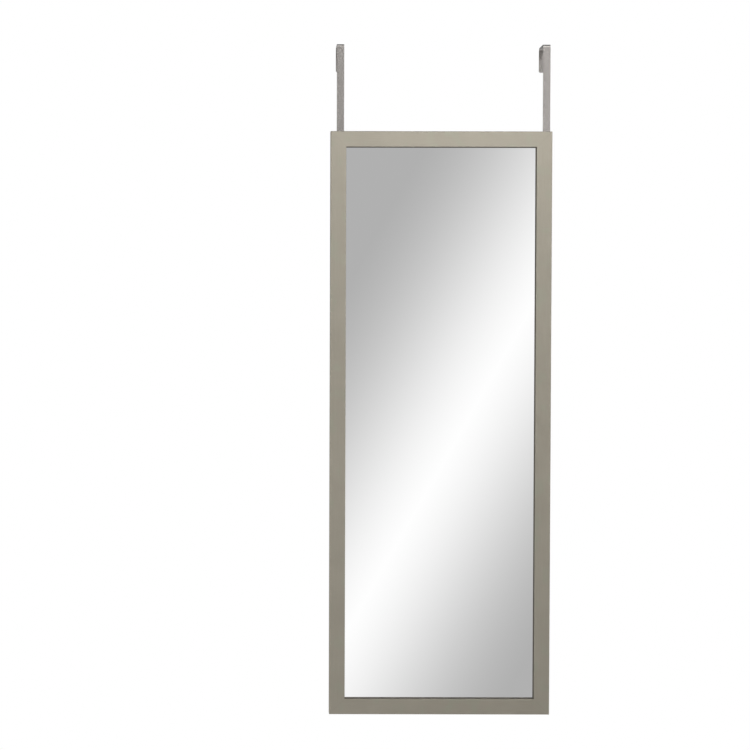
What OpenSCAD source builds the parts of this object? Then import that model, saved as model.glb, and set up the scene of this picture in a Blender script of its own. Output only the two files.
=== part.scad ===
// Over-the-door mirror: a mitred picture-frame moulding round a full-length glass, hung from the
// top of a door by two slotted steel hangers. Millimetres, +Z up, +X to the viewer's right.
// Origin: where the door's front face meets its top edge, midway between the hangers' centred places.
// The door fills y > 0, z < 0. The mirror faces -Y.

/* [Frame] */
// Width over the outside of the frame
frame_w = 482; // [380:1:600]
// Height over the outside of the frame
frame_h = 1274; // [1000:1:1500]
// Width of the moulding seen from the front
rail_w = 34; // [31:0.5:45]
// Depth of the moulding, front face to back
rail_t = 20; // [19:0.5:26]
// Depth from the front face to the glass
lip_t = 8; // [5:0.1:8.5]
// Width of the ledge that the glass sits behind
rabbet_w = 7; // [5:0.5:9]
// Radius of the long outer front edge
edge_r = 1.6; // [0.8:0.1:2.5]
// Radius of the front edge next to the glass
sight_r = 1.2; // [0.6:0.1:2]
// Chamfer on the outer back edge
back_chamfer = 0.8; // [0.4:0.1:1.5]

/* [Glass and backing] */
// Thickness of the mirror glass
glass_t = 3; // [2:0.1:4]
// Thickness of the foam sheet behind the glass
foam_t = 1; // [0.5:0.1:1.5]
// Thickness of the hardboard back
board_t = 3; // [2:0.1:3.5]
// Free space between the panels and the rabbet wall, each side
panel_gap = 1; // [0.5:0.1:1.5]
// Ground arris along the edges of the glass
arris = 0.4; // [0.2:0.1:0.6]

/* [Corner nails and points] */
// Depth of a V-nail, along its drive direction
nail_depth = 9; // [6:0.5:10]
// Length of each leg of a V-nail
nail_leg = 4.5; // [3:0.1:5.5]
// Thickness of the V-nail steel
nail_t = 0.5; // [0.3:0.05:0.7]
// Distance from the outer corner to the first V-nail, along each rail
nail_first = 9; // [6:0.5:11]
// Wood left between the second V-nail and the rabbet
nail_margin = 3; // [1:0.1:4]
// How far the nails are sunk below the back of the frame
nail_sink = 0.4; // [0.2:0.1:0.8]
// Number of retaining points in each stile
points_side = 7; // [4:1:9]
// Number of retaining points in the top rail, and in the bottom rail
points_end = 3; // [2:1:4]
// Distance from a corner of the glass to the nearest retaining points
point_inset = 70; // [40:1:76]
// Width of a retaining point
point_w = 6; // [4:0.1:8]
// Thickness of a retaining point
point_t = 0.5; // [0.3:0.05:0.7]
// Length of a retaining point that bites into the frame
point_bite = 3.5; // [2:0.1:4]
// Length of a retaining point that lies on the backing board
point_reach = 9; // [6:0.1:12]

/* [Hangers] */
// Thickest door that the hooks take, between the front pads and the back legs
door_t = 40; // [30:0.5:50]
// Width of the hanger strap
strap_w = 16; // [12:0.5:22]
// Thickness of the hanger strap
strap_t = 1.5; // [1:0.1:2]
// Height of the door's top edge above the frame
drop = 190; // [120:1:260]
// Strap left below the lower slot
tail_margin = 11; // [7:0.5:30]
// Length of a hook's back leg below the door's top edge
back_leg = 50; // [35:0.5:80]
// Inside radius of the two bends over the door
bend_r = 3.5; // [1.5:0.1:4]
// Radius of the corners at the strap's ends
end_r = 3.5; // [2:0.1:5.5]
// Distance from the frame's outer edge to a strap's centre line, before the shift
strap_inset = 15.5; // [14:0.1:16]
// Distance that both straps sit to the right of their centred places
strap_shift = 6.5; // [0:0.1:7]
// Height adjustment, up and down together
travel = 50; // [20:1:56]

/* [Screws] */
// Diameter of the screw shank
screw_d = 3.5; // [3:0.1:4.2]
// Diameter of the low domed head
head_d = 8.5; // [7.5:0.1:10]
// Height of the head
head_h = 2.1; // [1.6:0.1:2.4]
// Length of the shank under the head
screw_len = 14; // [8:0.5:16]
// Distance from the top of the frame to the upper screw
screw_first = 46; // [42:1:50]
// Distance between the two screws of a hanger
screw_pitch = 66; // [62:1:80]

/* [Pads] */
// Thickness of the round rubber bumpers, which sets how far the frame stands off the door
bumper_t = 4.5; // [4:0.1:6]
// Diameter of a bumper
bumper_d = 16; // [10:0.5:20]
// Distance from the frame's side to the middle of an upper bumper
bumper_in_top = 62; // [56:1:120]
// Distance from the frame's side to the middle of a lower bumper
bumper_in_bottom = 46; // [40:1:120]
// Thickness of the foam pad under the bridge of a hook
bridge_pad_t = 1.5; // [1:0.1:3]
// Length of the foam pad on the front of a hook
door_pad_len = 80; // [40:1:100]
// Distance from the door's top edge down to the front pad
door_pad_top = 14; // [8:1:30]
// Bare metal left on each side of a foam pad
pad_margin = 1; // [0.5:0.1:2]
// Radius of the foam pads' corners
pad_corner_r = 2; // [1:0.1:3]

/* [Hidden] */
$fn = 48;
SIDES = ["left", "right"];

pewter = [0.66, 0.63, 0.57];
strap_grey = [0.62, 0.61, 0.58];
silver = [0.86, 0.87, 0.88];
hardboard = [0.45, 0.31, 0.19];
zinc = [0.75, 0.75, 0.76];
foam_white = [0.94, 0.94, 0.92];
foam_grey = [0.36, 0.36, 0.37];
rubber_grey = [0.30, 0.30, 0.31];

// Clearances, named once
fit = 0.05;          // round a nail, point or screw in its hole
slot_play = 0.25;    // round a screw shank in a hanger's slot
over = 1;            // how far a cutting shape runs past the face it cuts

// Places in the row frame
front_y = -bumper_t - rail_t;              // front face of the moulding
back_y = -bumper_t;                        // back face of the moulding
glass_y = front_y + lip_t;                 // front of the glass
foam_y = glass_y + glass_t;
board_y = foam_y + foam_t;
point_y = board_y + board_t;               // where the points lie on the board
top_z = -drop;
bottom_z = top_z - frame_h;
mid_z = (top_z + bottom_z) / 2;
solid_w = rail_w - rabbet_w;                // outer edge to rabbet wall
panel_w = frame_w - 2 * solid_w - 2 * panel_gap;
panel_h = frame_h - 2 * solid_w - 2 * panel_gap;
strap_back_y = back_y + strap_t;           // face of the strap that looks at the door
bridge_z = bridge_pad_t;                   // underside of the bridge
door_pad_t = -strap_back_y;                // fills the strap's distance from the door
slot_w = screw_d + 2 * slot_play;
pilot_d = screw_d + 2 * fit;
bumper_z = solid_w / 2;                     // from the outer edge to the middle of a bumper
bumper_round = 1.2;                         // radius of a bumper's rim
head_r = (head_d * head_d / 4 + head_h * head_h) / (2 * head_h);

function side_of(s) = s == "left" ? -1 : 1;
function strap_x(s) = side_of(s) * (frame_w / 2 - strap_inset) + strap_shift;
function screw_z(i) = top_z - screw_first - i * screw_pitch;
tail_z = screw_z(1) - (travel + slot_w) / 2 - tail_margin;   // lower end of a strap

// Places of count retaining points along a panel edge of the given length, from its middle
function spread(count, edge) =
    [for (i = [0 : count - 1]) (i / (count - 1) - 0.5) * (edge - 2 * point_inset)];

// ---------- moulding ----------

// Cross-section of the moulding: x from the outer edge towards the glass, y from the front to the back
module rail_profile() {
    difference() {
        union() {
            translate([edge_r, 0])
                square([rail_w - edge_r - sight_r, rail_t]);
            translate([0, edge_r])
                square([edge_r, rail_t - edge_r]);
            translate([edge_r, edge_r])
                circle(edge_r);
            translate([rail_w - sight_r, sight_r])
                square([sight_r, lip_t - sight_r]);
            translate([rail_w - sight_r, sight_r])
                circle(sight_r);
        }
        // rabbet for the glass and the back
        translate([solid_w, lip_t])
            square([rabbet_w + over, rail_t - lip_t + over]);
        // broken outer back edge
        polygon([[-over, rail_t - back_chamfer - over], [-over, rail_t + over],
            [back_chamfer + over, rail_t + over]]);
    }
}

// One mitred length, lying along X above the frame's middle with its outer edge at height reach
module mitred_length(length, reach) {
    translate([-length / 2, front_y, reach])
        rotate([-90, 0, 0])
            intersection() {
                rotate([90, 0, 90])
                    linear_extrude(length)
                        rail_profile();
                translate([0, 0, -over])
                    linear_extrude(rail_t + 2 * over)
                        polygon([[0, 0], [length, 0], [length - rail_w, rail_w], [rail_w, rail_w]]);
            }
}

// Turns a shape made for the top of the frame round the frame's middle
module about_middle(angle) {
    translate([0, 0, mid_z])
        rotate([0, angle, 0])
            children();
}

module rail(top) {
    color(pewter)
        difference() {
            about_middle(top ? 0 : 180)
                mitred_length(frame_w, frame_h / 2);
            for (s = SIDES)
                v_nails(top, s, fit);
            end_points(top, fit);
        }
}

module stile(s) {
    color(pewter)
        difference() {
            about_middle(side_of(s) * 90)
                mitred_length(frame_h, frame_w / 2);
            for (top = [true, false])
                v_nails(top, s, fit);
            side_points(s, fit);
            for (i = [0, 1])
                pilot_hole(s, i);
        }
}

module pilot_hole(s, i) {
    translate([strap_x(s), back_y + over, screw_z(i)])
        rotate([90, 0, 0])
            cylinder(h = screw_len - strap_t + over + fit, d = pilot_d);
}

// ---------- corner nails ----------

// Plan of one V-nail about its point, legs turned away from the corner's outside; grow thickens it
module v_plan(grow) {
    for (turn = [0, 90])
        rotate(turn)
            translate([-nail_t / 2 - grow, -nail_t / 2 - grow])
                square([nail_leg + nail_t / 2 + 2 * grow, nail_t + 2 * grow]);
}

// The two V-nails of one corner, straddling its mitre
module v_nails(top, s, grow = 0) {
    corner_x = side_of(s) * frame_w / 2;
    corner_z = top ? top_z : bottom_z;
    into_x = -side_of(s);
    into_z = top ? -1 : 1;
    color(zinc)
        for (step = [nail_first, solid_w - nail_margin - nail_leg])
            translate([corner_x + into_x * step, back_y - nail_sink + (grow > 0 ? nail_sink + over : 0),
                    corner_z + into_z * step])
                rotate([90, 0, 0])
                    mirror([into_x < 0 ? 1 : 0, 0, 0])
                        mirror([0, into_z < 0 ? 1 : 0, 0])
                            linear_extrude(nail_depth + (grow > 0 ? nail_sink + over + grow : 0))
                                v_plan(grow);
}

// ---------- panels ----------

// A plate in the XZ plane with its edges broken by c
module broken_edge_plate(w, h, t, c) {
    intersection() {
        translate([0, 0, -h / 2])
            linear_extrude(h)
                broken_section(w, t, c);
        translate([-w / 2, 0, 0])
            rotate([0, 90, 0])
                linear_extrude(w)
                    broken_section(h, t, c);
    }
}

module broken_section(w, t, c) {
    polygon([[-w / 2, c], [-w / 2 + c, 0], [w / 2 - c, 0], [w / 2, c],
        [w / 2, t - c], [w / 2 - c, t], [-w / 2 + c, t], [-w / 2, t - c]]);
}

module mirror_glass() {
    color(silver)
        translate([0, glass_y, mid_z])
            broken_edge_plate(panel_w, panel_h, glass_t, arris);
}

module foam_sheet() {
    color(foam_white)
        translate([-panel_w / 2, foam_y, mid_z - panel_h / 2])
            cube([panel_w, foam_t, panel_h]);
}

module backing_board() {
    color(hardboard)
        translate([-panel_w / 2, board_y, mid_z - panel_h / 2])
            cube([panel_w, board_t, panel_h]);
}

// ---------- retaining points ----------

// Plan of one point: its sharp end lies point_bite inside the rabbet wall at x = 0
module point_plan(grow) {
    half = point_w / 2 + grow;
    tip = -point_bite - grow;
    polygon([[tip, 0], [tip + half / 2, half], [point_reach, half],
        [point_reach, -half], [tip + half / 2, -half]]);
}

module retaining_point(grow) {
    color(zinc)
        translate([0, point_y - grow, 0])
            rotate([-90, 0, 0])
                linear_extrude(point_t + 2 * grow)
                    point_plan(grow);
}

module side_points(s, grow = 0) {
    for (z = spread(points_side, panel_h))
        translate([side_of(s) * (frame_w / 2 - solid_w), 0, mid_z + z])
            rotate([0, s == "left" ? 0 : 180, 0])
                retaining_point(grow);
}

module end_points(top, grow = 0) {
    for (x = spread(points_end, panel_w))
        translate([x, 0, mid_z + (top ? 1 : -1) * (frame_h / 2 - solid_w)])
            rotate([0, top ? 90 : -90, 0])
                retaining_point(grow);
}

// ---------- bumpers ----------

module bumper(top, s) {
    inset = top ? bumper_in_top : bumper_in_bottom;
    color(rubber_grey)
        translate([side_of(s) * (frame_w / 2 - inset), back_y,
                top ? top_z - bumper_z : bottom_z + bumper_z])
            rotate([-90, 0, 0])
                rotate_extrude() {
                    square([bumper_d / 2, bumper_t - bumper_round]);
                    square([bumper_d / 2 - bumper_round, bumper_t]);
                    intersection() {
                        translate([bumper_d / 2 - bumper_round, bumper_t - bumper_round])
                            circle(bumper_round);
                        square([bumper_d / 2, bumper_t]);
                    }
                }
}

// ---------- hangers ----------

// Quarter of a bend, from +x to +y about its centre
module quarter_bend(inner, thick) {
    intersection() {
        difference() {
            circle(inner + thick);
            circle(inner);
        }
        square(inner + thick);
    }
}

// Side view of a bent strap: x towards the back of the door, y up
module strap_profile() {
    bend_z = bridge_z - bend_r;
    translate([back_y, tail_z])
        square([strap_t, bend_z - tail_z]);
    translate([strap_back_y + bend_r, bend_z])
        rotate(90)
            quarter_bend(bend_r, strap_t);
    translate([strap_back_y + bend_r, bridge_z])
        square([door_t - strap_back_y - 2 * bend_r, strap_t]);
    translate([door_t - bend_r, bend_z])
        quarter_bend(bend_r, strap_t);
    translate([door_t, -back_leg])
        square([strap_t, bend_z + back_leg]);
}

// Cuts away the two sharp corners of a strap's end at height z, in the leg whose front face is at y
module round_end(y, z) {
    for (x = [-1, 1])
        translate([x * (strap_w / 2 - end_r), y + strap_t + over, z + end_r])
            rotate([90, 0, 0])
                linear_extrude(strap_t + 2 * over)
                    difference() {
                        translate([x > 0 ? 0 : -end_r - over, -end_r - over])
                            square(end_r + over);
                        circle(end_r);
                    }
}

// Cuts a slot for a screw, centred at height z
module slot(z) {
    translate([0, strap_back_y + over, z])
        rotate([90, 0, 0])
            linear_extrude(strap_t + 2 * over) {
                for (end = [-1, 1])
                    translate([0, end * travel / 2])
                        circle(d = slot_w);
                square([slot_w, travel], center = true);
            }
}

module hanger_strap(s) {
    color(strap_grey)
        translate([strap_x(s), 0, 0])
            difference() {
                translate([-strap_w / 2, 0, 0])
                    rotate([90, 0, 90])
                        linear_extrude(strap_w)
                            strap_profile();
                round_end(back_y, tail_z);
                round_end(door_t, -back_leg);
                for (i = [0, 1])
                    slot(screw_z(i));
            }
}

// A foam pad's outline, centred
module pad_plan(w, h) {
    for (x = [-1, 1], y = [-1, 1])
        translate([x * (w / 2 - pad_corner_r), y * (h / 2 - pad_corner_r)])
            circle(pad_corner_r);
    square([w - 2 * pad_corner_r, h], center = true);
    square([w, h - 2 * pad_corner_r], center = true);
}

module door_pad(s) {
    color(foam_grey)
        translate([strap_x(s), 0, -door_pad_top - door_pad_len / 2])
            rotate([90, 0, 0])
                linear_extrude(door_pad_t)
                    pad_plan(strap_w - 2 * pad_margin, door_pad_len);
}

module bridge_pad(s) {
    color(foam_grey)
        translate([strap_x(s), (door_t + strap_back_y) / 2, 0])
            linear_extrude(bridge_pad_t)
                pad_plan(strap_w - 2 * pad_margin, door_t - strap_back_y - 2 * bend_r - 2 * pad_margin);
}

// A low domed wood screw with a cross recess, driven into the stile through the strap's slot
module hanger_screw(s, i) {
    point_len = screw_d;
    color(zinc)
        translate([strap_x(s), strap_back_y, screw_z(i)])
            rotate([90, 0, 0]) {
                cylinder(h = screw_len - point_len, d = screw_d);
                translate([0, 0, screw_len - point_len])
                    cylinder(h = point_len, d1 = screw_d, d2 = screw_d / 5);
                difference() {
                    intersection() {
                        translate([0, 0, head_r - head_h])
                            sphere(head_r);
                        translate([0, 0, -head_h])
                            cylinder(h = head_h, d = head_d + over);
                    }
                    for (turn = [0, 90])
                        rotate(turn)
                            translate([-head_d / 4, -head_d / 16, -head_h - over])
                                cube([head_d / 2, head_d / 8, over + 0.6 * head_h]);
                }
            }
}

// ---------- the nodes ----------

rail(true);  // top_rail
rail(false);  // bottom_rail
stile("left");  // left_stile
stile("right");  // right_stile
v_nails(true, "left");  // top_left_v_nails
v_nails(true, "right");  // top_right_v_nails
v_nails(false, "left");  // bottom_left_v_nails
v_nails(false, "right");  // bottom_right_v_nails
mirror_glass();
foam_sheet();
backing_board();
end_points(true);  // top_retaining_points
end_points(false);  // bottom_retaining_points
side_points("left");  // left_retaining_points
side_points("right");  // right_retaining_points
for (s = SIDES) {
    bumper(true, s);
    bumper(false, s);
    hanger_screw(s, 0);
    hanger_screw(s, 1);
    hanger_strap(s);
    door_pad(s);
    bridge_pad(s);
}
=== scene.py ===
"""Finishes, soft pieces, fasteners, stage, light and camera for the over the door mirror."""
import math

import bmesh
import bpy
from mathutils import Matrix, Vector


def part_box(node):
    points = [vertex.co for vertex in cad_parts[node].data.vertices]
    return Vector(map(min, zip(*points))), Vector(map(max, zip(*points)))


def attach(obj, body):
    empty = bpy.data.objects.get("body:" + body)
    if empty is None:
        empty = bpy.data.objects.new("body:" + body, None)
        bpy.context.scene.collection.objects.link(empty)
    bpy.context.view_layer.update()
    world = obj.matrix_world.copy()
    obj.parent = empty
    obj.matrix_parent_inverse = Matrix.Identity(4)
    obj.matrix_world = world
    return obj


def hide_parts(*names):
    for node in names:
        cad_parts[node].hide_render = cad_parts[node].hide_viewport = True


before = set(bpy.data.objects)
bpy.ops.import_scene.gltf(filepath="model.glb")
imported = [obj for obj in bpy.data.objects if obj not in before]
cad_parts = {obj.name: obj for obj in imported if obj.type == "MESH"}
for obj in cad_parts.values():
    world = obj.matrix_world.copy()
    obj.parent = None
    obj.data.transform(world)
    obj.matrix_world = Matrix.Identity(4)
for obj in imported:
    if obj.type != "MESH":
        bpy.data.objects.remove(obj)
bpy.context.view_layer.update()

MM = 0.001
SIDES = ("left", "right")
NEAR = 0.1 * MM             # what is this near a plane counts as on it
VERY_NEAR = 0.01 * MM       # the same on the glass and on a screw's seat

# Camera, fitted to the frame's corners and the hangers in the picture
PHOTO_SIDE = 750
SENSOR = 36.0
FOCAL_PX = 1280.5
CENTRE_PX = (268.1, 349.0)
CAMERA_PLACE = (-0.3762, -2.8145, -0.6154)
CAMERA_TILT = math.radians(-1.0)
CAMERA_ROLL = 0.0021

# Diagonal band of light that the glass reflects, by a direction's x / -y and z / -y
AHEAD_LEAST = 0.05          # the least that -y counts as there
BAND_SLANT = 1.775
BAND_OFFSET = 0.3494
BAND_HALF = 0.2723
BAND_SOFT = 0.53
BAND_PEAK = 0.998
BAND_FLOOR = 0.691
WIDE_FROM = 0.60
WIDE_TO = 1.40
WIDE_RISE = 0.24

# The band's levels are as a picture stores them, and this curve turns them into light
CURVE_OFFSET = 0.055
CURVE_POWER = 2.4

# What else glossy surfaces see: a strip light high in front, a dark ceiling, a wall behind.
# FROM and TO bound a smooth change, in parts of a direction of length 1. LEFT and RIGHT do too, in x / -y
STRIP_FROM = 0.32
STRIP_TO = 0.40
STRIP_LEFT = -0.35
STRIP_RIGHT = 0.45
STRIP_GAIN = 9.4
CEILING_FROM = 0.47
CEILING_TO = 0.56
CEILING_LEVEL = 0.03
BEHIND_FROM = -0.05
BEHIND_TO = 0.25
BEHIND_LEVEL = 0.75
BEHIND_MIDDLE = 0.30
BEHIND_MIDDLE_FROM = 0.80
BEHIND_MIDDLE_TO = 0.97
BEHIND_DARK_FROM = 0.10
BEHIND_DARK_TO = 0.30
BEHIND_DARK = 0.92

# Even light of the room on what doesn't mirror, by how much a direction looks ahead or back
ROOM_SIDE = 0.07
ROOM_AHEAD = 0.48
ROOM_AHEAD_POWER = 1.6
ROOM_UP = 0.03

# Lamps: place, where they point, size in metres, watts
LAMPS = {
    "window_lamp": ((0.08, -1.10, 0.02), (0.0, -0.02, -0.45), 0.7, 8.0),
    "left_lamp": ((-0.95, -0.85, -0.95), (0.0, -0.02, -0.9), 0.5, 3.0),
    "rear_lamp": ((0.9, 2.0, 0.5), (0.0, 0.0, -0.8), 1.2, 42.0),
}

# The floor lies a door's height below the hooks, and fades to white from FROM to TO times its radius
FLOOR_Z = -2.03
FLOOR_RADIUS = 1.3
FLOOR_FADE_FROM = 0.45
FLOOR_FADE_TO = 0.97
FLOOR_LIFT = 0.5            # the share of white that the camera sees even in its middle

# Colours, linear
FOIL_DARK = (0.322, 0.294, 0.238, 1)
FOIL_LIGHT = (0.412, 0.378, 0.312, 1)
FOIL_GREEN = (0.350, 0.352, 0.276, 1)
# Painted shade for the frame's inner edge next to the glass
SIGHT_PAINTED_SHADE = (0.06, 0.055, 0.045, 1)
MITRE_SHADE = (0.05, 0.045, 0.035, 1)
FIBREBOARD_DARK = (0.30, 0.19, 0.105, 1)
FIBREBOARD_LIGHT = (0.46, 0.33, 0.21, 1)
GLASS_TINT = 0.95
GLASS_SILVER = (GLASS_TINT, GLASS_TINT, GLASS_TINT, 1)
GLASS_EDGE = (0.22, 0.36, 0.30, 1)
BACK_PAINT = (0.20, 0.21, 0.22, 1)
BACK_PAINT_THIN = (0.27, 0.28, 0.29, 1)
BOARD_DARK = (0.12, 0.062, 0.030, 1)
BOARD_LIGHT = (0.24, 0.135, 0.070, 1)
BOARD_CHIP = (0.32, 0.20, 0.11, 1)
SHEET_WHITE = (0.88, 0.88, 0.86, 1)
SHEET_SHADE = (0.78, 0.78, 0.76, 1)
ZINC_DARK = (0.50, 0.50, 0.52, 1)
ZINC_LIGHT = (0.72, 0.72, 0.72, 1)
PAINT_DARK = (0.381, 0.356, 0.337, 1)
PAINT_LIGHT = (0.458, 0.429, 0.406, 1)
BARE_STEEL = (0.55, 0.55, 0.54, 1)
RUBBER_DARK = (0.055, 0.055, 0.060, 1)
RUBBER_LIGHT = (0.095, 0.095, 0.100, 1)
RUBBER_DUST = (0.32, 0.31, 0.29, 1)
FOAM_DARK = (0.50, 0.50, 0.49, 1)
FOAM_LIGHT = (0.72, 0.72, 0.705, 1)
FOAM_PIT_SHADE = (0.30, 0.30, 0.295, 1)
FLOOR_DARK = (0.86, 0.86, 0.85, 1)
FLOOR_LIGHT = (0.90, 0.90, 0.90, 1)
WHITE = (1, 1, 1, 1)

FRAME_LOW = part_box("bottom_rail")[0]
FRAME_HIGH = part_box("top_rail")[1]
HALF_W = FRAME_HIGH.x
HALF_H = (FRAME_HIGH.z - FRAME_LOW.z) / 2
MID_Z = (FRAME_HIGH.z + FRAME_LOW.z) / 2
GLASS_LOW, GLASS_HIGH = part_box("mirror_glass")
RAIL_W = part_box("left_stile")[1].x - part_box("left_stile")[0].x


# ---------- shader trees ----------

class Value:
    """An output socket. Arithmetic on it adds Math nodes."""

    def __init__(self, tree, socket):
        self.tree = tree
        self.socket = socket

    def __add__(self, other):
        return self.tree.math("ADD", self, other)

    def __sub__(self, other):
        return self.tree.math("SUBTRACT", self, other)

    def __rsub__(self, other):
        return self.tree.math("SUBTRACT", other, self)

    def __mul__(self, other):
        return self.tree.math("MULTIPLY", self, other)

    def __truediv__(self, other):
        return self.tree.math("DIVIDE", self, other)

    def __pow__(self, other):
        return self.tree.math("POWER", self, other)

    def __gt__(self, other):
        return self.tree.math("GREATER_THAN", self, other)

    def __lt__(self, other):
        return self.tree.math("LESS_THAN", self, other)

    def __neg__(self):
        return self.tree.math("MULTIPLY", self, -1.0)

    def __abs__(self):
        return self.tree.math("ABSOLUTE", self)

    __radd__ = __add__
    __rmul__ = __mul__


class Tree:
    """The node tree of a material or of the world."""

    def __init__(self, owner):
        owner.use_nodes = True
        self.owner = owner
        self.nodes = owner.node_tree.nodes
        self.links = owner.node_tree.links
        self.nodes.clear()

    def add(self, kind, settings=None, inputs=None, output=0):
        node = self.nodes.new("ShaderNode" + kind)
        for name, value in (settings or {}).items():
            setattr(node, name, value)
        for name, value in (inputs or {}).items():
            if isinstance(value, Value):
                self.links.new(value.socket, node.inputs[name])
            else:
                node.inputs[name].default_value = value
        return Value(self, node.outputs[output]) if node.outputs else None

    def math(self, operation, *terms):
        return self.add("Math", {"operation": operation}, dict(enumerate(terms)))

    def clamped(self, value, low, high):
        return self.math("MINIMUM", self.math("MAXIMUM", value, low), high)

    def ramp(self, value, low, high):
        """0 below low, 1 above high, and smooth between."""
        ends = {"Value": value, "From Min": low, "From Max": high}
        return self.add("MapRange", {"interpolation_type": "SMOOTHSTEP"}, ends)

    def place(self):
        return self.add("TexCoord", output="Object")

    def parts(self, vector):
        split = self.add("SeparateXYZ", inputs={"Vector": vector}).socket.node
        return [Value(self, socket) for socket in split.outputs]

    def scaled(self, vector, scale):
        return self.add("Mapping", inputs={"Vector": vector, "Scale": scale})

    def noise(self, vector, scale, detail=2.0, roughness=0.5):
        """Noise from 0 to 1, with about scale waves to the metre."""
        inputs = {"Vector": vector, "Scale": scale, "Detail": detail, "Roughness": roughness}
        return self.add("TexNoise", inputs=inputs)

    def cells(self, vector, scale, output="Distance"):
        """Cells, about scale of them to the metre: the distance to their middles, or a level for each."""
        return self.add("TexVoronoi", inputs={"Vector": vector, "Scale": scale}, output=output)

    def mix(self, factor, first, second):
        """Two colours mixed. A Mix node takes colours in sockets 6 and 7 and gives them in socket 2."""
        inputs = {0: factor, 6: first, 7: second}
        return self.add("Mix", {"data_type": "RGBA"}, inputs, output=2)

    def surface(self, colour, roughness, metallic=0.0, height=None, depth=0.0, constants=None):
        """The material's shader. Where the pattern height is 1, it stands depth metres proud."""
        inputs = {"Base Color": colour, "Roughness": roughness, "Metallic": metallic}
        inputs.update(constants or {})
        if height is not None:
            inputs["Normal"] = self.add("Bump", inputs={"Height": height, "Distance": depth})
        shader = self.add("BsdfPrincipled", inputs=inputs)
        self.add("OutputMaterial", inputs={"Surface": shader})
        return self.owner


def new_tree(name):
    return Tree(bpy.data.materials.new(name))


# ---------- finishes of the mirror ----------

FOIL_TURN_IN = 8 * MM       # how far in from the frame's outer edge the foil reaches behind
FOIL_RAGGED = 0.8 * MM      # how far its cut edge wanders
MITRE_LINE = 0.12 * MM
SIGHT_EDGE = 0.2 * MM       # the edge next to the glass, darkened with painted shade
SIGHT_DEPTH = 1.3 * MM


def inward_of(tree, x, z):
    """How far a point lies in from the frame's outer edge, and whether it is on a mitre's line."""
    from_side = HALF_W - abs(x)
    from_end = HALF_H - abs(z - MID_Z)
    mitre = abs(from_side - from_end) < MITRE_LINE
    return tree.math("MINIMUM", from_side, from_end), mitre


def pewter_foil(tree, place, streaks, clouds, flakes):
    """Pewter in two tones, greenish in patches."""
    tone = (streaks - 0.5) * 0.9 + (clouds - 0.5) * 0.7 + (flakes - 0.5) * 0.22 + 0.5
    pewter = tree.mix(tree.clamped(tone, 0.0, 1.0), FOIL_DARK, FOIL_LIGHT)
    green = tree.ramp(tree.noise(place, 31.0), 0.52, 0.72) * 0.5
    return tree.mix(green, pewter, FOIL_GREEN)


def fibreboard(tree, fibres, clouds):
    fibre_tone = tree.ramp(fibres * 0.75 + clouds * 0.25, 0.36, 0.66)
    return tree.mix(fibre_tone, FIBREBOARD_DARK, FIBREBOARD_LIGHT)


def frame_foil(name, stretch):
    """Satin pewter foil over fibreboard. stretch draws the streaks out along the moulding."""
    tree = new_tree(name)
    place = tree.place()
    x, y, z = tree.parts(place)
    streaks = tree.noise(tree.scaled(place, stretch), 900.0, detail=4.0, roughness=0.6)
    clouds = tree.noise(place, 14.0)
    flakes = tree.cells(place, 1400.0, "Color")
    grain = tree.noise(place, 700.0, detail=3.0)
    fibres = tree.noise(place, 850.0, detail=5.0, roughness=0.7)
    pewter = pewter_foil(tree, place, streaks, clouds, flakes)
    inward, mitre = inward_of(tree, x, z)
    # Painted shade: the inner edge by the glass is darkened as if shaded in its recess, and dulled there
    sight_painted_shade = (inward > RAIL_W - SIGHT_EDGE) * tree.ramp(y, FRAME_LOW.y, FRAME_LOW.y + SIGHT_DEPTH)
    pewter = tree.mix(sight_painted_shade * 0.8, pewter, SIGHT_PAINTED_SHADE)
    inward = inward + (grain - 0.5) * FOIL_RAGGED
    bare = (y > GLASS_LOW.y - NEAR) * (inward > FOIL_TURN_IN)
    colour = tree.mix(bare, pewter, fibreboard(tree, fibres, clouds))
    colour = tree.mix(mitre * (bare * 0.35 + 0.35), colour, MITRE_SHADE)
    satin = streaks * 0.10 + flakes * 0.06 + 0.30
    dull = tree.math("MAXIMUM", bare, sight_painted_shade)
    roughness = satin + dull * (0.88 - satin)
    metallic = (1 - dull) * 0.42
    height = grain * 0.35 + streaks * 0.65 + bare * (fibres * 4.0 - 1.0)
    return tree.surface(colour, roughness, metallic, height=height, depth=0.02 * MM)


def silvered_glass():
    """Float glass silvered behind: the front mirrors, the ground edges are green, the back is painted."""
    tree = new_tree("silvered_glass")
    place = tree.place()
    y = tree.parts(place)[1]
    front = y < GLASS_LOW.y + VERY_NEAR
    back = y > GLASS_HIGH.y - VERY_NEAR
    roller = tree.noise(place, 420.0, detail=3.0)
    drips = tree.noise(tree.scaled(place, (1.0, 1.0, 0.12)), 60.0, detail=2.0)
    paint = tree.mix(tree.ramp(drips * 0.6 + roller * 0.4, 0.35, 0.65), BACK_PAINT, BACK_PAINT_THIN)
    edge = tree.mix(back, GLASS_EDGE, paint)
    colour = tree.mix(front, edge, GLASS_SILVER)
    dull = 0.32 + roller * 0.12 + back * 0.22
    roughness = dull * (1 - front)
    return tree.surface(colour, roughness, front, height=back * roller, depth=0.03 * MM)


WIRE_PITCH = 1.5 * MM


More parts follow.
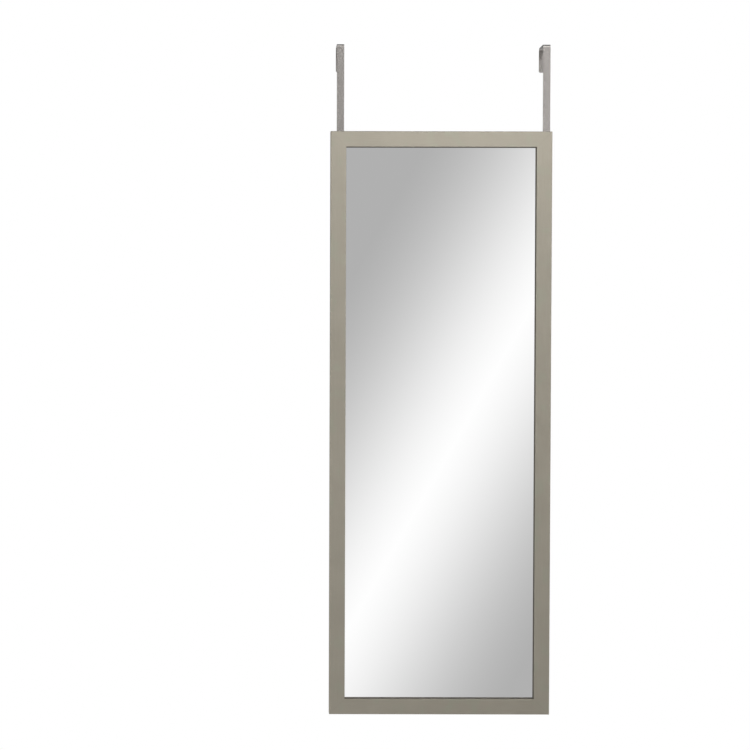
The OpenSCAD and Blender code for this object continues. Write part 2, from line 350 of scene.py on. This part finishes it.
def hardboard():
    """Pressed hardboard whose rough side keeps the print of the wire screen it was pressed on."""
    tree = new_tree("hardboard")
    place = tree.place()
    x, _, z = tree.parts(place)
    fibres = tree.noise(place, 520.0, detail=5.0, roughness=0.7)
    clumps = tree.noise(place, 45.0, detail=3.0)
    chips = tree.ramp(tree.noise(tree.scaled(place, (1.0, 1.0, 0.5)), 620.0, detail=2.0), 0.58, 0.72)
    tone = tree.clamped(fibres * 0.8 + clumps * 0.5 - 0.15, 0.0, 1.0)
    colour = tree.mix(tone, BOARD_DARK, BOARD_LIGHT)
    colour = tree.mix(chips * 0.30, colour, BOARD_CHIP)
    wire = 2 * math.pi / WIRE_PITCH
    mesh = tree.math("SINE", x * wire) * tree.math("SINE", z * wire)
    height = mesh * 0.35 + fibres * 0.65
    return tree.surface(colour, 0.82 + fibres * 0.12, height=height, depth=0.12 * MM)


def foam_interleaf():
    """White packing foam, a skin of fine closed cells."""
    tree = new_tree("foam_interleaf")
    place = tree.place()
    cells = tree.cells(place, 1100.0)
    clouds = tree.noise(place, 25.0)
    colour = tree.mix(tree.clamped(cells * 0.7 + clouds * 0.3, 0.0, 1.0), SHEET_WHITE, SHEET_SHADE)
    return tree.surface(colour, 0.72 + clouds * 0.15, height=cells, depth=0.08 * MM)


def zinc_steel():
    """Zinc plated steel, with fine scratches and a soft spangle."""
    tree = new_tree("zinc_steel")
    place = tree.place()
    scratches = tree.noise(tree.scaled(place, (1.0, 0.3, 0.06)), 4200.0, detail=3.0)
    spangle = tree.cells(place, 520.0, "Color")
    tone = tree.clamped(scratches * 0.7 + spangle * 0.4 - 0.05, 0.0, 1.0)
    colour = tree.mix(tone, ZINC_DARK, ZINC_LIGHT)
    roughness = scratches * 0.18 + spangle * 0.08 + 0.2
    return tree.surface(colour, roughness, 1.0, height=scratches, depth=0.01 * MM)


# ---------- finishes of the hangers ----------

STRAP_T = 1.5 * MM
SCUFF_HALF = 5.4 * MM       # half the width of the track that a screw head leaves
SCUFF_REACH = 14 * MM       # how far the track runs past the screws
LACQUER = {"Coat Weight": 1.0, "Coat Roughness": 0.06}


def hanger_paint(name, node):
    """Pewter powder coat with a fine orange peel, scuffed to steel where the screw heads slide."""
    low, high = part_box(node)
    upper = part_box(node.replace("hanger_strap", "upper_screw"))
    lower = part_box(node.replace("hanger_strap", "lower_screw"))
    middle_x = (low.x + high.x) / 2
    tree = new_tree(name)
    place = tree.place()
    x, y, z = tree.parts(place)
    peel = tree.noise(place, 620.0, detail=1.5)
    specks = tree.cells(place, 1500.0, "Color")
    clouds = tree.noise(place, 22.0, detail=3.0)
    tone = tree.clamped(clouds * 0.7 + specks * 0.35 + peel * 0.3 - 0.18, 0.0, 1.0)
    paint = tree.mix(tone, PAINT_DARK, PAINT_LIGHT)
    rub = tree.noise(tree.scaled(place, (1.0, 1.0, 0.05)), 2400.0, detail=3.0)
    track = 1 - tree.ramp(abs(x - middle_x), SCUFF_HALF * 0.6, SCUFF_HALF)
    reach = (z < upper[1].z + SCUFF_REACH) * (z > lower[0].z - SCUFF_REACH)
    door_side = y > low.y + STRAP_T - NEAR
    scuff = track * reach * door_side * tree.ramp(rub, 0.50, 0.62)
    colour = tree.mix(scuff, paint, BARE_STEEL)
    roughness = peel * 0.06 + specks * 0.05 + 0.15 + scuff * 0.03
    metallic = scuff * 0.2 + 0.75
    height = peel * (1 - scuff) + rub * scuff * 0.3
    return tree.surface(colour, roughness, metallic, height=height, depth=0.009 * MM, constants=LACQUER)


def grey_rubber():
    """Moulded rubber, dusty and slightly mottled."""
    tree = new_tree("grey_rubber")
    place = tree.place()
    mottle = tree.noise(place, 380.0, detail=4.0)
    dust = tree.ramp(tree.noise(place, 1600.0, detail=2.0), 0.58, 0.75)
    colour = tree.mix(tree.clamped(mottle, 0.0, 1.0), RUBBER_DARK, RUBBER_LIGHT)
    colour = tree.mix(dust * 0.35, colour, RUBBER_DUST)
    return tree.surface(colour, mottle * 0.15 + 0.66, height=mottle, depth=0.04 * MM)


def pad_foam():
    """Pale closed-cell foam, cut so that opened cells show as small pits, darkened with painted shade."""
    tree = new_tree("pad_foam")
    place = tree.place()
    cells = tree.cells(place, 1300.0)
    large = tree.cells(place, 520.0)
    pits = 1 - tree.ramp(large, 0.10, 0.32)
    skin = tree.noise(place, 90.0, detail=3.0)
    colour = tree.mix(tree.clamped(skin * 0.6 + cells * 0.6, 0.0, 1.0), FOAM_LIGHT, FOAM_DARK)
    # Painted shade in the pits
    colour = tree.mix(pits * 0.45, colour, FOAM_PIT_SHADE)
    return tree.surface(colour, 0.80 + skin * 0.12, height=cells - pits, depth=0.09 * MM)


# ---------- modelling ----------

MERGE_GAP = 0.001 * MM


def centre(low, high):
    """The middle of a box, as three numbers."""
    return [(least + most) / 2 for least, most in zip(low, high)]


def start(primitive, name, **settings):
    """A new primitive in edit mode, the only thing selected."""
    if bpy.context.object and bpy.context.object.mode != "OBJECT":
        bpy.ops.object.mode_set(mode="OBJECT")
    bpy.ops.object.select_all(action="DESELECT")
    primitive(**settings)
    piece = bpy.context.active_object
    piece.name = name
    piece.data.name = name
    bpy.ops.object.mode_set(mode="EDIT")
    bpy.ops.mesh.select_mode(type="FACE")
    bpy.ops.mesh.select_all(action="SELECT")
    return piece


def pick_faces(piece, wanted):
    """Selects the faces that wanted is true of, and nothing else."""
    bpy.ops.mesh.select_mode(type="FACE")
    bpy.ops.mesh.select_all(action="DESELECT")
    mesh = bmesh.from_edit_mesh(piece.data)
    for face in mesh.faces:
        if wanted(face):
            face.select_set(True)
    bmesh.update_edit_mesh(piece.data)


def stack(layers, size):
    """Extrudes the selected face along z through layers of (height, inset from the full size)."""
    height, inset = layers[0]
    for next_height, next_inset in layers[1:]:
        bpy.ops.mesh.extrude_region_move(
            TRANSFORM_OT_translate={"value": (0, 0, next_height - height)})
        factors = [(side - 2 * next_inset) / (side - 2 * inset) for side in size]
        bpy.ops.transform.resize(value=(*factors, 1), center_override=(0, 0, 0))
        height, inset = next_height, next_inset


def close_up(piece, angle=35):
    """Turns the normals outwards, leaves edit mode and smooths what isn't an edge."""
    bpy.ops.mesh.select_all(action="SELECT")
    bpy.ops.mesh.remove_doubles(threshold=MERGE_GAP)
    bpy.ops.mesh.normals_make_consistent(inside=False)
    bpy.ops.object.mode_set(mode="OBJECT")
    bpy.ops.object.shade_smooth_by_angle(angle=math.radians(angle))
    return piece


def settle(piece, turn, place):
    """Turns and moves a piece to its place, and keeps that place in its mesh."""
    bpy.ops.object.select_all(action="DESELECT")
    piece.select_set(True)
    bpy.context.view_layer.objects.active = piece
    piece.rotation_euler = turn
    piece.location = place
    bpy.ops.object.transform_apply(location=True, rotation=True, scale=True)
    return piece


def apply_modifier(piece, kind, **settings):
    modifier = piece.modifiers.new(kind.lower(), kind)
    for name, value in settings.items():
        setattr(modifier, name, value)
    bpy.ops.object.select_all(action="DESELECT")
    piece.select_set(True)
    bpy.context.view_layer.objects.active = piece
    bpy.ops.object.modifier_apply(modifier=modifier.name)


def twin(piece, name):
    """A copy of a piece with its own mesh."""
    copy = piece.copy()
    copy.data = piece.data.copy()
    copy.name = name
    copy.data.name = name
    bpy.context.scene.collection.objects.link(copy)
    return copy


def dress(piece, material, body, slot, *nodes):
    """Gives a piece its finish and body, and hides the CAD nodes that it stands for. The slot is not
    used.
    """
    piece.data.materials.clear()
    piece.data.materials.append(material)
    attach(piece, body)
    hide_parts(*nodes)
    return piece


TO_DOOR = (-math.pi / 2, 0, 0)     # local z becomes +y
DOWNWARDS = (math.pi, 0, 0)        # local z becomes -z


# ---------- foam ----------

PAD_CORNER = 2 * MM
SHEET_ROUND = 0.2 * MM


def foam_block(name, width, length, corner, layers):
    """A cut block of foam lying on the plane z = 0, crowned on top."""
    piece = start(bpy.ops.mesh.primitive_plane_add, name, size=1)
    bpy.ops.transform.resize(value=(width, length, 1))
    bpy.ops.mesh.select_mode(type="VERT")
    bpy.ops.mesh.select_all(action="SELECT")
    bpy.ops.mesh.bevel(offset=corner, segments=6, affect="VERTICES")
    bpy.ops.mesh.select_mode(type="FACE")
    bpy.ops.mesh.select_all(action="SELECT")
    stack(layers, (width, length))
    return close_up(piece, 50)


def pad_layers(thick):
    """Sides that pull in at the waist, a rounded rim and a crown that ends at the full thickness."""
    return [(0, 0.0), (0.2 * thick, 0.12 * MM), (0.5 * thick, 0.3 * MM), (0.78 * thick, 0.14 * MM),
            (0.84 * thick, 0.2 * MM), (0.90 * thick, 0.45 * MM), (0.94 * thick, 1.0 * MM),
            (0.975 * thick, 2.2 * MM), (0.994 * thick, 3.6 * MM), (thick, 5.2 * MM)]


def hanger_pad(material, side, node, size, turn, place):
    """One pad of that width, length and thickness, with the middle of its glued face at place."""
    width, length, thick = size
    pad = foam_block(f"{node}_foam", width, length, PAD_CORNER, pad_layers(thick))
    settle(pad, turn, place)
    dress(pad, material, f"{side}_hanger", "pad_foam", node)


def foam_pads(material):
    """A pad behind each hanger's front leg, and one under its bridge."""
    for side in SIDES:
        low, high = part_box(f"{side}_door_pad")
        size = high - low
        x, _, z = centre(low, high)
        hanger_pad(material, side, f"{side}_door_pad", (size.x, size.z, size.y), TO_DOOR, (x, low.y, z))
        low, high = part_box(f"{side}_bridge_pad")
        x, y, _ = centre(low, high)
        hanger_pad(material, side, f"{side}_bridge_pad", high - low, DOWNWARDS, (x, y, high.z))


def interleaf(material):
    """The thin foam sheet between the glass and the board, its cut edges slightly rounded."""
    low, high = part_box("foam_sheet")
    size = high - low
    near_rim = 0.2 * SHEET_ROUND
    layers = [(0, SHEET_ROUND), (SHEET_ROUND, near_rim), (0.5 * size.y, 0),
              (size.y - SHEET_ROUND, near_rim), (size.y, SHEET_ROUND)]
    piece = start(bpy.ops.mesh.primitive_plane_add, "interleaf_foam", size=1)
    bpy.ops.transform.resize(value=(size.x - 2 * SHEET_ROUND, size.z - 2 * SHEET_ROUND, 1))
    stack(layers, (size.x, size.z))
    close_up(piece, 20)
    x, _, z = centre(low, high)
    settle(piece, TO_DOOR, (x, low.y, z))
    dress(piece, material, "mirror", "foam_sheet", "foam_sheet")


# ---------- rubber and steel ----------

def bumper_layers(tall):
    """A foot, a waist, a rounded rim and a dished face."""
    return [(0, 0.35 * MM), (0.12 * tall, 0), (0.22 * tall, 0.03 * MM), (0.40 * tall, 0.22 * MM),
            (0.70 * tall, 0.30 * MM), (0.82 * tall, 0.48 * MM), (0.92 * tall, 0.85 * MM),
            (0.98 * tall, 1.40 * MM), (tall, 2.0 * MM), (tall, 3.2 * MM), (0.97 * tall, 3.7 * MM),
            (0.95 * tall, 5.2 * MM), (0.95 * tall, 6.6 * MM), (0.90 * tall, 7.0 * MM)]


def bumpers(material):
    """Round moulded bumpers, modelled once and copied to the frame's four corners."""
    low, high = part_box("top_left_bumper")
    wide = high.x - low.x
    layers = bumper_layers(high.y - low.y)
    first = start(bpy.ops.mesh.primitive_circle_add, "bumper", vertices=48,
                  radius=wide / 2 - layers[0][1], fill_type="NGON")
    stack(layers, (wide, wide))
    close_up(first)
    for end in ("top", "bottom"):
        for side in SIDES:
            node = f"{end}_{side}_bumper"
            low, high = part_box(node)
            x, _, z = centre(low, high)
            piece = twin(first, f"{node}_rubber")
            settle(piece, TO_DOOR, (x, low.y, z))
            dress(piece, material, "mirror", "grey_rubber", node)
    bpy.data.objects.remove(first)


HEAD_H = 2.07 * MM
HEAD_EDGE = 0.12 * MM    # how far the edge of a head's seat is broken
HEAD_EDGE_H = 0.1 * MM   # and over what height
HEAD_GAP = 0.03 * MM     # a clamp screw backed off, so that its strap slides
SHANK_R = 1.75 * MM
ROOT_R = 1.3 * MM
THREAD_PITCH = 1.3 * MM
PLAIN_NECK = 1.2 * MM
POINT_LEN = 3.5 * MM
TIP_R = 0.12 * MM
LEAST_ROOT_R = 0.25 * MM
LEAST_CREST_R = 0.4 * MM
BLADE = (4.6 * MM, 0.95 * MM, 2.4 * MM)     # length, width and height of a blade of the cross recess
BLADE_FOOT = (0.30, 0.75, 1)                # its foot, as shares of that
BLADE_PROUD = 0.05 * MM                     # how far its middle lies above the head's crown
SCREW_TURNS = {"upper": 0.3, "lower": 1.1}  # how the recesses on the left hanger are turned, in radians
RIGHT_TURN = 0.5                            # and how much further those on the right one are


def dome_layers(radius):
    """The low dome of a screw head, from its seat to its crown."""
    ball = (radius ** 2 + HEAD_H ** 2) / (2 * HEAD_H)
    layers = [(0, HEAD_EDGE), (HEAD_EDGE_H, 0)]
    for share in (0.2, 0.38, 0.55, 0.70, 0.82, 0.91, 0.97, 0.995):
        height = share * HEAD_H
        reach = math.sqrt(ball ** 2 - (ball - HEAD_H + height) ** 2)
        layers.append((height, radius - reach))
    return layers


def thread_layers(radius, length):
    """A shank that runs down from the head: a plain neck, thread ridges and a point."""
    layers = [(0, HEAD_EDGE), (0, radius - SHANK_R), (-PLAIN_NECK, radius - SHANK_R)]
    turn_top = -PLAIN_NECK
    while turn_top - THREAD_PITCH > -length:
        taper = min(1.0, (length + turn_top - 0.4 * THREAD_PITCH) / POINT_LEN)
        root = radius - max(LEAST_ROOT_R, ROOT_R * taper)
        crest = radius - max(LEAST_CREST_R, SHANK_R * taper)
        layers += [(turn_top - 0.25 * THREAD_PITCH, root), (turn_top - 0.62 * THREAD_PITCH, root),
                   (turn_top - 0.82 * THREAD_PITCH, crest), (turn_top - 0.92 * THREAD_PITCH, crest)]
        turn_top -= THREAD_PITCH
    return layers + [(-length, radius - TIP_R)]


def recess_blade(name, turn):
    """One blade of the cross recess, narrower towards its foot."""
    blade = start(bpy.ops.mesh.primitive_cube_add, name, size=1)
    bpy.ops.transform.resize(value=BLADE)
    pick_faces(blade, lambda face: face.normal.z < -0.9)
    bpy.ops.transform.resize(value=BLADE_FOOT, center_override=(0, 0, 0))
    bpy.ops.object.mode_set(mode="OBJECT")
    return settle(blade, (0, 0, turn), (0, 0, HEAD_H + BLADE_PROUD))


def wood_screw(radius, length):
    """A domed wood screw with a cross recess, its head's seat on the plane z = 0."""
    first = start(bpy.ops.mesh.primitive_circle_add, "screw", vertices=40,
                  radius=radius - HEAD_EDGE, fill_type="NGON")
    stack(dome_layers(radius), (2 * radius, 2 * radius))
    pick_faces(first, lambda face: abs(face.calc_center_median().z) < VERY_NEAR)
    stack(thread_layers(radius, length), (2 * radius, 2 * radius))
    close_up(first, 40)
    for name, turn in (("blade_a", 0.0), ("blade_b", math.pi / 2)):
        blade = recess_blade(name, turn)
        apply_modifier(first, "BOOLEAN", operation="DIFFERENCE", solver="EXACT", object=blade)
        bpy.data.objects.remove(blade)
    bpy.ops.object.mode_set(mode="EDIT")
    return close_up(first, 40)


def hanger_screws(material):
    """The clamp screws, modelled once and copied to all four places."""
    low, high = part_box("left_upper_screw")
    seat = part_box("left_hanger_strap")[0].y + STRAP_T + HEAD_GAP
    first = wood_screw((high.x - low.x) / 2, seat - low.y)
    for side in SIDES:
        for step, turn in SCREW_TURNS.items():
            node = f"{side}_{step}_screw"
            x, _, z = centre(*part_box(node))
            piece = twin(first, f"{node}_steel")
            settle(piece, (0, 0, turn if side == "left" else turn + RIGHT_TURN), (0, 0, 0))
            settle(piece, TO_DOOR, (x, seat, z))
            dress(piece, material, "mirror", "zinc_steel", node)
    bpy.data.objects.remove(first)


# ---------- the CAD nodes ----------

STRAP_EDGE = 0.25 * MM
WELD_GAP = 0.002 * MM
SHARP_ANGLE = math.radians(50)


def finish_node(name, material):
    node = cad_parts[name]
    node.data.materials.clear()
    node.data.materials.append(material)
    return node


def soften(node, width):
    """Breaks a node's sharp edges, which a press and a coat of paint leave round."""
    weld = node.modifiers.new("weld", "WELD")
    weld.merge_threshold = WELD_GAP
    bevel = node.modifiers.new("broken_edges", "BEVEL")
    bevel.width = width
    bevel.segments = 2
    bevel.limit_method = "ANGLE"
    bevel.angle_limit = SHARP_ANGLE
    normals = node.modifiers.new("even_normals", "WEIGHTED_NORMAL")
    normals.weight = 80


def finish_frame():
    lying = frame_foil("foil_along_rail", (0.02, 1.0, 1.0))
    standing = frame_foil("foil_along_stile", (1.0, 1.0, 0.02))
    for name in ("top_rail", "bottom_rail"):
        finish_node(name, lying)
    for side in SIDES:
        finish_node(f"{side}_stile", standing)
    finish_node("mirror_glass", silvered_glass())
    finish_node("backing_board", hardboard())


def finish_steel(zinc):
    for end in ("top", "bottom"):
        finish_node(f"{end}_retaining_points", zinc)
        for side in SIDES:
            finish_node(f"{end}_{side}_v_nails", zinc)
    for side in SIDES:
        finish_node(f"{side}_retaining_points", zinc)


def finish_hangers():
    for side in SIDES:
        node = f"{side}_hanger_strap"
        strap = finish_node(node, hanger_paint(f"{side}_hanger_paint", node))
        soften(strap, STRAP_EDGE)


# ---------- stage, light and camera ----------

def band_light(tree, x, z, ahead):
    """The diagonal band, which is what the glass shows."""
    off = abs(x / ahead * BAND_SLANT - z / ahead - BAND_OFFSET)
    near = tree.clamped(1 - off / BAND_HALF, 0.0, 1.0)
    near = tree.ramp(near, 0.0, 1.0) * BAND_SOFT + near * (1 - BAND_SOFT)
    band = near * (BAND_PEAK - BAND_FLOOR) + BAND_FLOOR
    band = band + tree.ramp(off, WIDE_FROM, WIDE_TO) * WIDE_RISE
    return ((band + CURVE_OFFSET) / (1 + CURVE_OFFSET)) ** CURVE_POWER / GLASS_TINT


def wall_behind(tree, y, z):
    """What metal that faces the door mirrors: pale, darker in the middle and dark above."""
    fade = tree.ramp(y, BEHIND_MIDDLE_FROM, BEHIND_MIDDLE_TO)
    wall = BEHIND_LEVEL - fade * (BEHIND_LEVEL - BEHIND_MIDDLE)
    return wall * (1 - tree.ramp(z, BEHIND_DARK_FROM, BEHIND_DARK_TO) * BEHIND_DARK)


def lit_room():
    """White to the camera, a diagonal band of light to what mirrors, and even light to the rest."""
    world = bpy.data.worlds.new("white_room")
    bpy.context.scene.world = world
    tree = Tree(world)
    x, y, z = tree.parts(tree.add("TexCoord", output="Generated"))
    ahead = tree.math("MAXIMUM", -y, AHEAD_LEAST)
    light = band_light(tree, x, z, ahead)
    strip = tree.ramp(z, STRIP_FROM, STRIP_TO) * tree.ramp(x / ahead, STRIP_LEFT, STRIP_RIGHT)
    light = light + strip * STRIP_GAIN
    light = light + tree.ramp(y, BEHIND_FROM, BEHIND_TO) * (wall_behind(tree, y, z) - light)
    light = light + tree.ramp(z, CEILING_FROM, CEILING_TO) * (CEILING_LEVEL - light)
    room = abs(y) ** ROOM_AHEAD_POWER * ROOM_AHEAD + z * ROOM_UP + ROOM_SIDE
    path = tree.add("LightPath").socket.node.outputs
    camera, glossy, through = [Value(tree, path[name]) for name in
                               ("Is Camera Ray", "Is Glossy Ray", "Is Transmission Ray")]
    mirrored = tree.math("MAXIMUM", glossy, through)
    level = light * mirrored + room * (1 - mirrored)
    level = camera + level * (1 - camera)
    shader = tree.add("Background", inputs={"Color": level, "Strength": 1.0})
    tree.add("OutputWorld", inputs={"Surface": shader})


def pale_floor():
    """A round pale floor, which keeps the mirror's shadow and fades to white at its rim."""
    piece = start(bpy.ops.mesh.primitive_circle_add, "floor", vertices=96, radius=FLOOR_RADIUS,
                  fill_type="NGON")
    bpy.ops.object.mode_set(mode="OBJECT")
    settle(piece, (0, 0, 0), (0, 0, FLOOR_Z))
    tree = new_tree("pale_floor")
    place = tree.place()
    speckle = tree.noise(place, 60.0, detail=3.0)
    colour = tree.mix(speckle, FLOOR_DARK, FLOOR_LIGHT)
    matt = tree.add("BsdfPrincipled", inputs={"Base Color": colour, "Roughness": 0.8})
    white = tree.add("Emission", inputs={"Color": WHITE, "Strength": 1.0})
    across = tree.add("VectorMath", {"operation": "LENGTH"},
                      {0: tree.scaled(place, (1, 1, 0))}, output="Value")
    camera = tree.add("LightPath", output="Is Camera Ray")
    rim = tree.ramp(across, FLOOR_FADE_FROM * FLOOR_RADIUS, FLOOR_FADE_TO * FLOOR_RADIUS)
    lift = camera * (FLOOR_LIFT + rim * (1 - FLOOR_LIFT))
    shader = tree.add("MixShader", inputs={0: lift, 1: matt, 2: white})
    tree.add("OutputMaterial", inputs={"Surface": shader})
    piece.data.materials.append(tree.owner)
    piece.visible_glossy = False


def lamps():
    for name, (place, aim, size, watts) in LAMPS.items():
        bpy.ops.object.light_add(type="AREA", location=place)
        lamp = bpy.context.active_object
        lamp.name = name
        lamp.data.size = size
        lamp.data.energy = watts
        lamp.rotation_euler = (Vector(aim) - Vector(place)).to_track_quat("-Z", "Y").to_euler()
        lamp.visible_camera = False
        lamp.visible_glossy = False


def photo_camera():
    bpy.ops.object.camera_add()
    camera = bpy.context.active_object
    camera.name = "photo_camera"
    camera.data.sensor_width = SENSOR
    camera.data.lens = FOCAL_PX / PHOTO_SIDE * SENSOR
    camera.data.shift_x = 0.5 - CENTRE_PX[0] / PHOTO_SIDE
    camera.data.shift_y = CENTRE_PX[1] / PHOTO_SIDE - 0.5
    turn = Matrix.Rotation(math.pi / 2 + CAMERA_TILT, 4, "X") @ Matrix.Rotation(CAMERA_ROLL, 4, "Z")
    camera.matrix_world = Matrix.Translation(CAMERA_PLACE) @ turn
    bpy.context.scene.camera = camera


photo_camera()
lit_room()
lamps()
pale_floor()
finish_frame()
zinc = zinc_steel()
finish_steel(zinc)
finish_hangers()
interleaf(foam_interleaf())
foam_pads(pad_foam())
bumpers(grey_rubber())
hanger_screws(zinc)
bpy.context.scene.view_settings.view_transform = "Standard"
